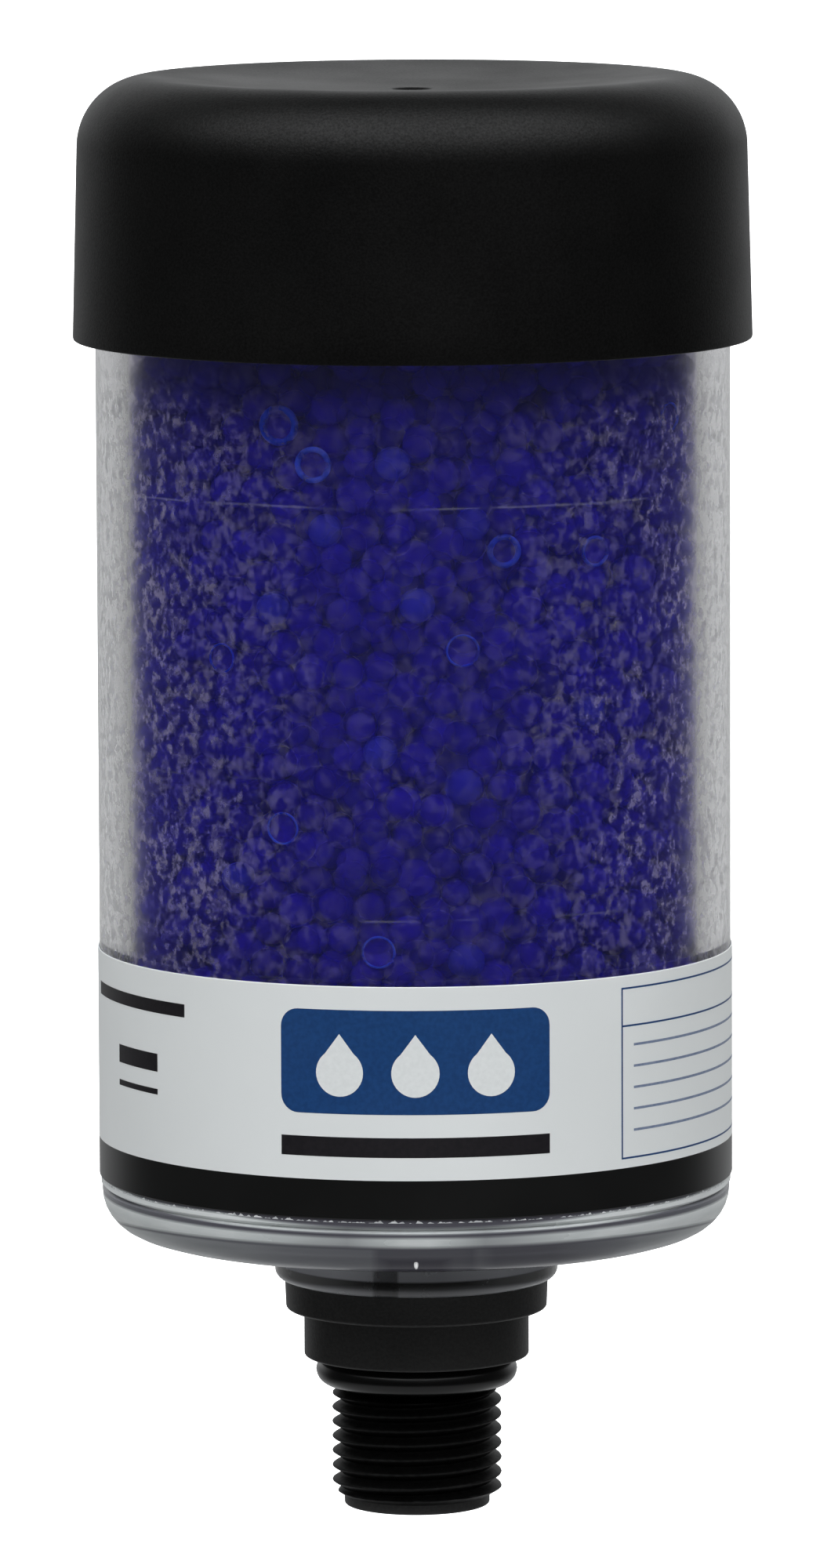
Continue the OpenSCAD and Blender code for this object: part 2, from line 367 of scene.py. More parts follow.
def painted_light_bands(tree, level, turn, middle, over_grey):
    """Painted light: two light bands, over and under the dark line, with a painted sheen in the middle and at
    the sides.
    """
    over_dark = combine(tree, "SUBTRACT", level, blend(tree, turn, 0.02475, 0.02580))
    light_top = combine(tree, "ADD", spread(tree, turn, 0.02550, 0.02620, 0.0, 0.2),
                        spread(tree, turn, 0.0, 0.00040, 0.45, 0.75))
    under_label = combine(tree, "SUBTRACT", level, light_top)
    upper = combine(tree, "MULTIPLY", spread(tree, over_dark, 0.0, 1.05, -0.00015, 0.00020),
                    spread(tree, under_label, 1.0, 0.1, -0.0001, 0.0003),
                    spread(tree, middle, 0.70, 1.0, 0.002, 0.009))
    lower = combine(tree, "MULTIPLY", spread(tree, over_grey, 0.0, 1.0, -0.00030, 0.00030),
                    spread(tree, level, 1.0, 0.0, 0.02415, 0.02465))
    painted_sheen = combine(tree, "MAXIMUM", spread(tree, middle, 1.0, 0.55, 0.0015, 0.0085),
                    spread(tree, middle, 0.55, 0.97, 0.008, 0.022))
    return combine(tree, "MULTIPLY", combine(tree, "MAXIMUM", upper, lower), painted_sheen)


def painted_floor_view(tree, level, turn, middle, over_grey):
    """Painted view of the grey floor behind the wall, darker in a patch at the front and in a painted shadow
    to its right.
    """
    side = axis_value(tree, "X")
    below = spread(tree, over_grey, 1.0, 0.0, -0.0004, 0.0001)
    strength = spread(tree, turn, 0.24, 0.60, 0.0, 0.65)
    front_patch = spread(tree, distance(tree, side, 0.0011), 0.45, 1.0, 0.0056, 0.0066)
    painted_shade = combine(tree, "MAXIMUM", spread(tree, side, 1.12, 0.36, 0.0055, 0.0095),
                    spread(tree, side, 0.36, 1.0, 0.0165, 0.0270))
    front_gap = combine(tree, "MAXIMUM", spread(tree, middle, 0.05, 1.0, 0.0028, 0.0046),
                        spread(tree, level, 0.05, 1.0, 0.0212, 0.0219))
    return combine(tree, "MULTIPLY", below, strength, front_patch, painted_shade, front_gap)


def frosted_painted_light(name, gloss):
    """Painted light and shade: two light bands with a dark one between, which widens round the sides, and the
    painted view of grey below.
    """
    mat, tree, bsdf = material(name, ior=JOINT_IOR, specular_ior_level=gloss)
    level, middle = axis_value(tree, "Z"), across(tree)
    turn = spread(tree, distance(tree, axis_value(tree, "Y"), 0.0), 1.0, 0.0, 0.0, BASE_R * MM)
    turn_2 = combine(tree, "MULTIPLY", turn, turn)
    over_grey = combine(tree, "SUBTRACT", level, blend(tree, turn_2, 0.02315, 0.02055))
    # Tone: the painted light bands, the painted floor view, and a painted lightening towards the sides, where
    # the wall turns away
    tone = combine(tree, "MAXIMUM", painted_light_bands(tree, level, turn, middle, over_grey),
                   painted_floor_view(tree, level, turn, middle, over_grey),
                   spread(tree, turn, 0.02, 0.28, 0.05, 0.70))
    streaks = spread(tree, grain(tree, 900, 4, (0.15, 0.15, 1)), 0.90, 1.0)
    tone = combine(tree, "MULTIPLY", tone, streaks)
    drive(tree, bsdf,
          base_color=ramp(tree, tone, FROST_AND_LIGHT_STOPS),
          transmission_weight=blend(tree, tone, 0.10, 0.18),
          roughness=blend(tree, tone, 0.16, 0.30))
    return mat


# Cap: dished top with a gate dimple, round shoulder, drafted skirt and ribs inside

CAP_STEPS, LEDGE_R, SKIRT_EDGE = 288, 38.53, 0.35
GATE_R, GATE_DEPTH = 2.6, 0.4
LIP_OUT = ((-0.05, 0.1), (-0.15, 0.02), (-0.33, 0.0))
LIP_IN = ((0.30, 0.0), (0.07, 0.06), (0.0, 0.25))
RIB_COUNT, RIB_HALF = 8, 0.8
GRID_RIB = (10, 34.6, -RIB_HALF, RIB_HALF, 150.5, 158.0)
RIM_RIB = (34.0, 37.6, -RIB_HALF, RIB_HALF, TUBE_Z1, 157.0)

# The dish arc and the shoulder arc touch on the line through their centres, which leans by this angle
dish_r = (CREST_R ** 2 + DISH_DEPTH ** 2) / (2 * DISH_DEPTH) - SHOULDER_R
dish_z = CAP_TOP - DISH_DEPTH + dish_r
lean = math.degrees(math.asin(CREST_R / (dish_r + SHOULDER_R)))
dish_edge = dish_r * math.sin(math.radians(lean))


def dish(r, inset=0.0):
    """Height of the dish at radius r, or of the face a wall below it."""
    return dish_z - math.sqrt((dish_r + inset) ** 2 - r * r)


def cap_outline():
    """Half section from the gate dimple over the shoulder, down the skirt and up again inside."""
    gate_z = dish(0) - GATE_DEPTH
    out = [(0, gate_z), (1.9, gate_z), (2.1, gate_z + 0.04), (2.42, dish(0) - 0.06), (GATE_R, dish(GATE_R))]
    out += [(r, dish(r)) for r in np.linspace(3.2, dish_edge, 22)]
    out += arc(CREST_R, CREST_Z, SHOULDER_R, 90 + lean, 0, 30)[1:]
    skirt_r, skirt_z = CREST_R + SHOULDER_R, CAP_Z + SKIRT_EDGE
    for t in np.linspace(0, 1, 9)[1:]:
        out.append((skirt_r + (CAP_R - skirt_r) * t, CREST_Z + (skirt_z - CREST_Z) * t))
    out += [(CAP_R + dr, CAP_Z + dz) for dr, dz in LIP_OUT]
    out += [(CAP_BORE + dr, CAP_Z + dz) for dr, dz in LIP_IN]
    out += [(CAP_BORE, TUBE_Z1), (LEDGE_R, TUBE_Z1)]
    out += arc(CREST_R, CREST_Z, SHOULDER_R - CAP_WALL, 0, 90 + lean, 16)
    out += [(r, dish(r, CAP_WALL)) for r in (24, 16, 8, 0)]
    return out


cap_parts = [lathe(cap_outline(), CAP_STEPS, closed=False)]
for k in range(RIB_COUNT):
    turn = TAU * (k + 0.5) / RIB_COUNT
    cap_parts += [box_mesh(*GRID_RIB, turn), box_mesh(*RIM_RIB, turn)]
cap = make_object("cap_shell", *joined(cap_parts))
cap_black = black_plastic("cap_black", grey(0.0018), (0.0032, 0.0032, 0.0031), 0.45, 3400, 0.38, 0.165)
finish_piece(cap, [cap_black], "black_cap", "cap")

# Tube: thick clear wall with polished edges, a few fine scratch rings and dust inside, thinned at the top as
# painted shade

# Each scratch ring has a height, a half width, a weight and a level of grain that breaks it up
SCRATCH_RINGS = ((0.1122, 0.00016, 0.09, 0.40), (0.0793, 0.00014, 0.06, 0.5), (0.0629, 0.00016, 0.08, 0.5))
DUST_VIOLET, DUST_NEUTRAL = (0.80, 0.73, 1.0), (0.93, 0.93, 0.955)
TUBE_STEPS = 512
CLEAR_WALL, DUSTY_WALL, JOINT_RIM = range(3)


def scratched_wall():
    """Clear outer face with fine scratch rings that wander a little and break off."""
    mat, tree, bsdf = clear_plastic("tube_clear", (0.98, 0.975, 0.99), 0.02, 0.99)
    wander = spread(tree, grain(tree, 35, 2), -0.0003, 0.0003)
    height = combine(tree, "ADD", axis_value(tree, "Z"), wander)
    scratches = []
    for ring_z, width, weight, broken in SCRATCH_RINGS:
        line = spread(tree, distance(tree, height, ring_z), weight, 0.0, 0.3 * width, width)
        gaps = spread(tree, grain(tree, 130, 4), 0.0, 1.0, broken, broken + 0.12)
        scratches.append(combine(tree, "MULTIPLY", line, gaps))
    wear = combine(tree, "MAXIMUM", *scratches)
    clean = bsdf.inputs["Transmission Weight"].links[0].from_socket
    drive(tree, bsdf, transmission_weight=combine(tree, "SUBTRACT", clean, wear))
    return mat


def dusty_wall():
    """Inner face with a film of dust, violet before the bed and neutral beside it, thin at the front, and
    thin at the top, where less dust paints the shade under the cap.
    """
    mat, tree, bsdf = material("tube_dusty", ior=CLEAR_IOR, specular_ior_level=0.3)
    specks = spread(tree, grain(tree, 780, 6, (1, 1, 0.85), 0.66), 0.0, 1.0, 0.47, 0.63)
    clouds = spread(tree, grain(tree, 110, 3), 0.40, 1.0)
    # Painted shade under the cap: less dust near the top darkens it
    painted_cap_shade = spread(tree, axis_value(tree, "Z"), 1.0, 0.25, 0.1215, 0.1275)
    off_front = spread(tree, across(tree), 0.20, 1.0, 0.010, 0.029)
    film = combine(tree, "MULTIPLY", specks, clouds, painted_cap_shade, off_front)
    beside_bed = spread(tree, across(tree), 0.0, 1.0, 0.0312, 0.0334)
    drive(tree, bsdf,
          base_color=ramp(tree, beside_bed, [(0.0, DUST_VIOLET), (1.0, DUST_NEUTRAL)]),
          transmission_weight=blend(tree, film, 0.999, 0.42),
          roughness=blend(tree, film, 0.03, 0.25))
    bump(tree, bsdf, grain(tree, 300, 3, (1, 1, 0.12)), 0.012, 0.0002)
    return mat


tube_outline = rounded([
    (TUBE_IR, TUBE_Z0, 0.2), (TUBE_R - BEVEL, TUBE_Z0, 0.08), (TUBE_R, TUBE_Z0 + BEVEL, 0.1),
    (TUBE_R, LABEL_Z0, 0), (TUBE_R, TUBE_Z1, 0.2), (TUBE_IR, TUBE_Z1, 0.2)])
tube = make_object("tube_wall", *lathe(tube_outline, TUBE_STEPS))
tube_mats = [scratched_wall(), dusty_wall(), frosted_painted_light("tube_joint", 0.3)]
finish_piece(tube, tube_mats, "clear_tube", "tube")
for face in tube.data.polygons:
    inside = face.center.xy.length < (TUBE_IR + 0.1) * MM
    outer_finish = JOINT_RIM if face.center.z < LABEL_Z0 * MM else CLEAR_WALL
    face.material_index = DUSTY_WALL if inside else outer_finish

# Base: clear moulded bottom with neck, spigot, vents and the slot for the key

BASE_STEPS, CORNER_STEPS = 384, 8
VENT_COUNT, VENT_R, VENT_RING, BEYOND = 6, 2.5, 24.9, 1
KEY_SLOT = (12.4, 15.45, -1.45, 1.45, NECK_Z - BEYOND, FLOOR_Z + BEYOND)
RIM_R, NECK_OUTSIDE_R = 33.6, 16.2
FROSTED_PAINTED_RIM, CLEAR_NECK = 1, 2
NECK_LIGHT_STOPS = [(0.0, (0.36, 0.37, 0.385)), (0.16, (0.33, 0.335, 0.355)), (0.36, grey(0.08)),
              (0.46, grey(0.04)), (0.53, (0.60, 0.61, 0.66)), (1.0, (0.70, 0.71, 0.76))]


def neck_material():
    """Clear neck with painted light and shade: tones by height that stand for the light seen through it,
    painted lighter to the sides and painted shade in the middle and to the right, and clearer in front of the
    key.
    """
    mat, tree, bsdf = material("neck_clear", ior=JOINT_IOR, specular_ior_level=0.3)
    side, middle = axis_value(tree, "X"), across(tree)
    level = spread(tree, axis_value(tree, "Z"), 0.0, 1.0, 0.0134, 0.0174)
    # Painted light towards the sides, and painted shade in the middle and to the right
    painted_side_light = spread(tree, middle, 0.0, 0.30, 0.004, 0.0155)
    painted_shade = combine(tree, "MULTIPLY", spread(tree, side, 1.15, 0.95, -0.010, 0.008),
                    spread(tree, middle, 0.62, 1.0, 0.003, 0.010))
    key_away = distance(tree, side, NECK_R * math.cos(KEY_ANGLE) * MM)
    beside_key = combine(tree, "MAXIMUM", spread(tree, key_away, 0.0, 1.0, 0.0013, 0.0017),
                         spread(tree, axis_value(tree, "Y"), 0.0, 1.0, -0.010, -0.008))
    tones = [(ramp(tree, level, NECK_LIGHT_STOPS), 0), (painted_side_light, 1)]
    lightest = add(tree, "ShaderNodeVectorMath", tones, operation="MAXIMUM").outputs["Vector"]
    shaded = [(lightest, "Vector"), (painted_shade, "Scale")]
    drive(tree, bsdf,
          base_color=add(tree, "ShaderNodeVectorMath", shaded, operation="SCALE").outputs["Vector"],
          transmission_weight=blend(tree, beside_key, 0.72, 0.3),
          roughness=spread(tree, grain(tree, 500, 4), 0.12, 0.3))
    return mat


base_outline = rounded([
    (NECK_BORE, NECK_Z, 0.2), (NECK_R, NECK_Z, 1.2), (NECK_R, BASE_Z, 0.25), (BASE_R, BASE_Z, 5.2),
    (BASE_R, TUBE_Z0 - BEVEL, 0.1), (BASE_R - BEVEL, TUBE_Z0, 0.08), (SPIGOT_R, TUBE_Z0, 0.1),
    (SPIGOT_R, SPIGOT_Z1, 0.2), (SPIGOT_IR, SPIGOT_Z1, 0.2), (SPIGOT_IR, FLOOR_Z, 0.4),
    (NECK_BORE, FLOOR_Z, 0.2)], CORNER_STEPS)
base = make_object("base_moulding", *lathe(base_outline, BASE_STEPS))
openings = []
for k in range(VENT_COUNT):
    turn = math.radians(-90 + 60 * k)
    x, y = VENT_RING * math.cos(turn), VENT_RING * math.sin(turn)
    openings.append(rod(VENT_R, BASE_Z - BEYOND, FLOOR_Z + BEYOND, x, y))
cut(base, openings + [box_mesh(*KEY_SLOT, KEY_ANGLE)])
base_clear, _, _ = clear_plastic("base_clear", (0.93, 0.945, 0.96), 0.03, 0.965)
finish_piece(base, [base_clear, frosted_painted_light("base_frosted_painted_light", 0.08), neck_material()], "clear_base", "base")
for face in base.data.polygons:
    reach, rise = face.center.xy.length / MM, face.center.z / MM
    if reach > RIM_R and BASE_Z < rise < TUBE_Z0 - 0.02:
        face.material_index = FROSTED_PAINTED_RIM
    elif reach > NECK_OUTSIDE_R and rise < BASE_Z - 0.1:
        face.material_index = CLEAR_NECK

# Gate mark: a small pale nub on the front of the base, whose pale colour is a painted highlight

NUB_OUTLINE = [(0, -0.1), (0.34, -0.1), (0.30, 0.10), (0.16, 0.18), (0, 0.20)]
NUB_PLACE, NUB_STRETCH = (0, -37.35 * MM, 21.0 * MM), (0.8, 1.7, 1.0, 1.0)
gate_mark = make_object("gate_mark", *lathe(NUB_OUTLINE, 24, closed=False))
nub_turn = Matrix.Rotation(math.radians(60), 4, "X") @ Matrix.Diagonal(NUB_STRETCH)
gate_mark.data.transform(Matrix.Translation(NUB_PLACE) @ nub_turn)
gate_painted_highlight = cloudy("gate_painted_highlight", (700, 3), (grey(0.72), grey(0.9)), specular_ior_level=0.5, roughness=0.3)
finish_piece(gate_mark, [gate_painted_highlight], "clear_base")

# Stem: bore, tip, relief, step, flange, hub and key

BORE_R, TIP_R, CORE_R, RELIEF_R, STEP_R, FLANGE_R = 6.3, 8.98, 9.1, 8.83, 13.88, 16.1
BOND_R, HUB_R, SOCKET_R = 13.6, 13.4, 8.05
TIP_Z, STEP_Z, FLANGE_Z, SOCKET_Z, BOND_Z, HUB_Z = -15.1, 3.6, 9.55, 20.0, 22.4, 28.0
KEY = (12.4, 15.4, -1.4, 1.4, NECK_Z, FLOOR_Z)
STEM_STEPS = 224

stem_outline = rounded([
    (BORE_R, TIP_Z, 0.25), (TIP_R, TIP_Z, 0.3), (TIP_R, -13.6, 0), (CORE_R, -13.4, 0), (CORE_R, -0.2, 0),
    (RELIEF_R, 0, 0), (RELIEF_R, STEP_Z, 0.15), (STEP_R, STEP_Z, 0.3), (STEP_R, FLANGE_Z, 0.12),
    (FLANGE_R, FLANGE_Z, 0.35), (FLANGE_R + 0.15, NECK_Z, 0.1), (BOND_R, NECK_Z, 0), (BOND_R, BOND_Z, 0),
    (HUB_R, BOND_Z + 0.05, 0), (HUB_R, HUB_Z, 0.2), (SOCKET_R, HUB_Z, 0.2), (SOCKET_R, SOCKET_Z, 0),
    (BORE_R, SOCKET_Z, 0)])
stem = make_object("stem_body", *joined([lathe(stem_outline, STEM_STEPS), box_mesh(*KEY, KEY_ANGLE)]))
stem_black = black_plastic("stem_black", grey(0.027), (0.043, 0.0424, 0.0417), 0.48, 2600, 0.55, 0.24)
bond_grey = cloudy("bond_grey", (160, 4), ((0.60, 0.61, 0.66), (0.78, 0.79, 0.84)), (0.5, 0.65),
                   specular_ior_level=0.2)
finish_piece(stem, [stem_black, bond_grey], "black_stem", "threaded_stem")
for face in stem.data.polygons:
    reach, rise = face.center.xy.length / MM, face.center.z / MM
    face.material_index = int(NECK_Z < rise < BOND_Z and abs(reach - BOND_R) < 0.05)

# Thread: a helical skin round the stem

TURN_STEPS, PER_TURN, TURNS = 208, 16, range(-9, 2)
THREAD_START, THREAD_Z0, THREAD_Z1 = -2.1, -13.85, -0.02
LEAD_Z, LEAD_SLOPE, RUN_OUT_R, RUN_OUT_SLOPE = -13.9, 1.5 / 0.9, 8.9, 1.25
CREST_FLAT, ROOT_ROUND, SKIN_ROUGH, SKIN_SCALE = 0.07, 0.03, 0.012, 8


def thread_point(phase):
    """Distance below the crest of a rounded 55 degree thread, for a phase of 0 to 1 from crest to crest."""
    away = abs(phase - round(phase)) * PITCH
    t = min(max((away - CREST_FLAT) / (PITCH / 2 - 2 * CREST_FLAT), 0.0), 1.0)
    return THREAD_DEPTH * (t - ROOT_ROUND * math.sin(TAU * t))


def thread_limit(z):
    """Radius that the lead-in bevel below and the run-out above leave at height z."""
    return min(TIP_R + (z - LEAD_Z) * LEAD_SLOPE, RUN_OUT_R - z * RUN_OUT_SLOPE)


def thread_skin():
    """Vertices and faces of the skin. A row follows the helix, and its end meets the row one turn on."""
    rows = [(turn, k / PER_TURN) for turn in TURNS for k in range(PER_TURN)]
    verts, faces = [], []
    for turn, phase in rows:
        for c in range(TURN_STEPS):
            x, y = math.cos(TAU * c / TURN_STEPS), math.sin(TAU * c / TURN_STEPS)
            z = THREAD_START + PITCH * (turn + phase + c / TURN_STEPS)
            rough = SKIN_ROUGH * (1 + noise.noise((SKIN_SCALE * x, SKIN_SCALE * y, z)))
            z = min(max(z, THREAD_Z0), THREAD_Z1)
            r = min(THREAD_R - thread_point(phase) - rough, thread_limit(z))
            verts.append((r * x, r * y, z))
    for i in range(len(rows) - 1):
        for c in range(TURN_STEPS):
            row, column = (i, c + 1) if c + 1 < TURN_STEPS else (i + PER_TURN, 0)
            if row + 1 >= len(rows):
                continue
            here, beside = i * TURN_STEPS + c, row * TURN_STEPS + column
            face = [here, beside, beside + TURN_STEPS, here + TURN_STEPS]
            heights = [verts[v][2] for v in face]
            if max(heights) - min(heights) > 1e-4:
                faces.append(face)
    return verts, faces


thread_black = black_plastic("thread_black", grey(0.0008), grey(0.0016), 0.5, 1500, 0.3, 0.12)
finish_piece(make_object("stem_thread", *thread_skin(), sharp=50), [thread_black], "black_stem")

# Sealing ring: a round rubber ring with a fine moulding line

RING_R, RING_Z, RING_SECTION, RING_POINTS, RING_STEPS = 10.645, 1.8, 1.765, 40, 208
FLASH, FLASH_WIDTH = 0.03, 0.09
section = []
for k in range(RING_POINTS):
    a = TAU * k / RING_POINTS
    r = RING_SECTION + FLASH * math.exp(-(min(a, TAU - a) / FLASH_WIDTH) ** 2)
    section.append((RING_R + r * math.cos(a), RING_Z + r * math.sin(a)))
ring = make_object("seal_ring", *lathe(section, RING_STEPS), sharp=60)
ring_rubber = cloudy("ring_rubber", (90, 3), (grey(0.002), grey(0.0035)), (0.20, 0.28),
                     (900, 3, 0.08, 0.00004), specular_ior_level=0.4)
finish_piece(ring, [ring_rubber], "ring_rubber", "sealing_ring")

# Label: white film with a black stripe, laid round the tube and open at the seam behind

FILM_WHITE = ((0.84, 0.865, 0.865), (0.885, 0.91, 0.91))
FILM_T, FILM_EDGE, LABEL_STEPS = 0.14, 0.05, 360
SEAM = 0.6 / LABEL_R
label_rows = [LABEL_Z0, LABEL_Z0 + 0.06, 28.0, 29.8, STRIPE_Z, STRIPE_Z + 0.001]
label_rows += list(np.linspace(33, LABEL_Z1 - 0.06, 12)) + [LABEL_Z1]
label_outline = [(LABEL_R - (FILM_EDGE if z in (LABEL_Z0, LABEL_Z1) else 0), z) for z in label_rows]
label_outline += [(LABEL_R - FILM_T, z) for z in reversed(label_rows)]
label_mesh = lathe(label_outline, LABEL_STEPS, start=TAU / 4 + SEAM, sweep=TAU - 2 * SEAM)
label = make_object("label_film", *label_mesh)
label_white = cloudy("label_white", (40, 4), FILM_WHITE, (0.36, 0.46), (700, 2, 0.05, 0.00003),
                     specular_ior_level=0.45)
label_black = cloudy("label_black", (60, 4), (grey(0.0022), grey(0.0036)), (0.30, 0.37),
                     (900, 2, 0.06, 0.00003), specular_ior_level=0.53)
finish_piece(label, [label_white, label_black], "label_film", "label")
for face in label.data.polygons:
    face.material_index = int(face.center.z < STRIPE_Z * MM)

# Adhesive that squeezed out in a ragged line below the lower edge of the label

EDGE_STEPS, EDGE_Z, EDGE_R, EDGE_TALL = 1440, LABEL_Z0 - 0.42, TUBE_R + 0.02, 0.45
edge_verts = []
for k in range(EDGE_STEPS):
    c, s = math.cos(TAU * k / EDGE_STEPS), math.sin(TAU * k / EDGE_STEPS)
    ragged = noise.noise((55 * c, 55 * s, 3.1)) + 0.6 * noise.noise((140 * c, 140 * s, 7.7))
    tall = EDGE_TALL * min(max(ragged + 0.1, 0.0), 0.9)
    edge_verts += [(EDGE_R * c, EDGE_R * s, EDGE_Z), (EDGE_R * c, EDGE_R * s, EDGE_Z + tall)]
edge_faces = []
for k in range(EDGE_STEPS):
    low, after = 2 * k, (2 * k + 2) % (2 * EDGE_STEPS)
    if edge_verts[low + 1][2] > EDGE_Z or edge_verts[after + 1][2] > EDGE_Z:
        edge_faces.append([low, after, after + 1, low + 1])
flecks = make_object("adhesive_flecks", edge_verts, edge_faces, sharp=None)
adhesive_pale = cloudy("adhesive_pale", (900, 3), ((0.5, 0.52, 0.54), (0.9, 0.92, 0.93)),
                       specular_ior_level=0.4)
finish_piece(flecks, [adhesive_pale], "label_film")

# Print: generic fields and rules laid on the film, as thin curved patches

CUT_STEP = 0.8
INK_LIFT, OVER_INK_LIFT = 0.012, 0.022


def patch(outline_sz, lift):
    """A flat outline of (arc length, height) in mm, laid round the label. Arc length 0 is the front."""
    bm = bmesh.new()
    bm.faces.new([bm.verts.new((s, z, 0)) for s, z in outline_sz])
    lengths = [s for s, _ in outline_sz]
    for s in np.arange(math.ceil(min(lengths) / CUT_STEP) * CUT_STEP, max(lengths), CUT_STEP):
        bmesh.ops.bisect_plane(bm, geom=bm.verts[:] + bm.edges[:] + bm.faces[:], dist=1e-6,
                               plane_co=(s, 0, 0), plane_no=(1, 0, 0))
    bm.verts.index_update()
    verts = []
    for v in bm.verts:
        a = v.co.x / LABEL_R - math.pi / 2
        verts.append(((LABEL_R + lift) * math.cos(a), (LABEL_R + lift) * math.sin(a), v.co.y))
    faces = [[v.index for v in f.verts] for f in bm.faces]
    bm.free()
    return verts, faces


def bar(s0, s1, z0, z1):
    """Outline of a bar, by arc length and height."""
    return [(s0, z0), (s1, z0), (s1, z1), (s0, z1)]


def round_bar(s0, s1, z0, z1, radius):
    """Outline of a bar with round corners."""
    out = []
    for cs, cz, a0 in ((s1 - radius, z0 + radius, -90), (s1 - radius, z1 - radius, 0),
                       (s0 + radius, z1 - radius, 90), (s0 + radius, z0 + radius, 180)):
        out += arc(cs, cz, radius, a0, a0 + 90, 8)
    return out


def drop(s, z, size):
    """A plain drop: a round lower part drawn up to a point."""
    return [(s, z + 1.62 * size)] + arc(s, z, size, 52, -232, 32)


def ink(name, shapes, low, high, rough, lift):
    """All shapes in one ink, as one piece on the label."""
    mat, tree, bsdf = material(name, specular_ior_level=0.4)
    fleck = grain(tree, 1800, 3)
    drive(tree, bsdf,
          base_color=ramp(tree, fleck, [(0.35, low), (0.65, high)]),
          roughness=spread(tree, grain(tree, 50, 3), rough, rough + 0.1))
    obj = make_object(name, *joined([patch(s, lift) for s in shapes]), sharp=60)
    finish_piece(obj, [mat], "label_film")


FIELD_S, LINE = 16.6, 0.22
TABLE_S0, TABLE_S1, TABLE_Z0, TABLE_Z1 = 26.9, 62.0, 32.5, 53.4
blue_shapes = [round_bar(-FIELD_S, FIELD_S, 39.4, 52.0, 2.2)]
blue_shapes += [bar(TABLE_S0, TABLE_S1, z, z + LINE) for z in (TABLE_Z0, 48.6, TABLE_Z1 - LINE)]
blue_shapes += [bar(s, s + LINE, TABLE_Z0, TABLE_Z1) for s in (TABLE_S0, TABLE_S1 - LINE)]
white_shapes = [drop(s, 44.4, 2.9) for s in (-9.2, 0.0, 9.2)]
black_shapes = [bar(-FIELD_S, FIELD_S, 34.2, 36.6), bar(-55, -31.0, 49.6, 51.2),
                bar(-46, -36.2, 42.4, 44.6), bar(-46, -36.2, 39.6, 40.3)]
rule_shapes = [bar(TABLE_S0 + 2.0, TABLE_S1 - 3.0, z, z + 0.3) for z in (46.2, 43.6, 41.0, 38.4, 35.8)]
ink("print_blue", blue_shapes, (0.006, 0.045, 0.165), (0.009, 0.060, 0.205), 0.4, INK_LIFT)
ink("print_white", white_shapes, *FILM_WHITE, 0.38, OVER_INK_LIFT)
ink("print_black", black_shapes, (0.006, 0.005, 0.007), (0.011, 0.009, 0.012), 0.4, INK_LIFT)
ink("print_rules", rule_shapes, (0.17, 0.22, 0.34), (0.24, 0.29, 0.41), 0.4, INK_LIFT)

# Silica beads: spheres of several sizes, packed against the wall by a seeded relaxation

COUNT, R_CORE, Z_LOW, Z_HIGH = 2750, 24.0, 47.0, 136.0
R_MIN, R_MAX, WALL_GAP = 1.8, 2.35, 0.06
STEPS, PAIR_STEPS, PAIR_RISE, PAIR_REACH_2, EASE = 160, 12, 6.5, 42.0, 0.72

# Split beads lie with their broken face against the wall: angle from the front, height, radius, thickness of
# the rim, which is a painted highlight
SPLIT = [(-26.5, 121.7, 2.25, 0.42), (-19.5, 117.1, 2.06, 0.34), (17.6, 106.7, 1.88, 0.34),
         (37.2, 106.1, 1.88, 0.20), (9.4, 94.9, 2.06, 0.14), (-39.7, 93.3, 1.88, 0.12),
         (-26.1, 73.2, 2.06, 0.12), (-7.0, 58.6, 2.06, 0.14), (58.0, 121.4, 1.88, 0.12),
         (118.0, 84.0, 2.0, 0.2), (-131.0, 101.0, 2.1, 0.2), (171.0, 66.0, 1.9, 0.2)]

# Pale beads touch the wall: angle from the front, height and radius
PALE = [(-4.1, 117.2, 2.06), (-18.0, 109.1, 1.97), (12.0, 109.9, 1.97), (0.7, 100.2, 2.06),
        (-29.4, 99.5, 1.97), (-6.9, 82.5, 1.97), (10.0, 78.3, 2.16), (10.4, 57.3, 2.16),
        (37.7, 86.6, 2.06), (-38.2, 66.6, 1.88), (140.0, 112.0, 2.0), (-104.0, 71.0, 2.1),
        (-160.0, 90.0, 2.0)]


def from_front(turn, away, z):
    """The point at an angle in degrees from the front, a radius and a height."""
    a = math.radians(turn)
    return (away * math.sin(a), -away * math.cos(a), z)


rng = np.random.default_rng(23)
radius = rng.uniform(R_MIN, R_MAX, COUNT)
theta = rng.uniform(0, TAU, COUNT)
depth = np.sqrt(rng.uniform((R_CORE + 2) ** 2, (TUBE_IR - 2) ** 2, COUNT))
place = np.stack([depth * np.cos(theta), depth * np.sin(theta), rng.uniform(Z_LOW, Z_HIGH, COUNT)], 1)
fixed = [from_front(turn, TUBE_IR - 0.05, z) for turn, z, _, _ in SPLIT]
fixed += [from_front(turn, TUBE_IR - (r + WALL_GAP), z) for turn, z, r in PALE]
held = len(fixed)
radius[:held] = [bead[2] for bead in SPLIT + PALE]


def near_pairs():
    """Indices of the pairs of beads that may touch within the next steps."""
    order = np.argsort(place[:, 2])
    heights = place[order, 2]
    ends = np.searchsorted(heights, heights + PAIR_RISE)
    a = np.repeat(np.arange(COUNT), ends - np.arange(COUNT) - 1)
    b = np.concatenate([np.arange(i + 1, ends[i]) for i in range(COUNT)])
    near = ((place[order[a]] - place[order[b]]) ** 2).sum(1) < PAIR_REACH_2
    return order[a[near]], order[b[near]]


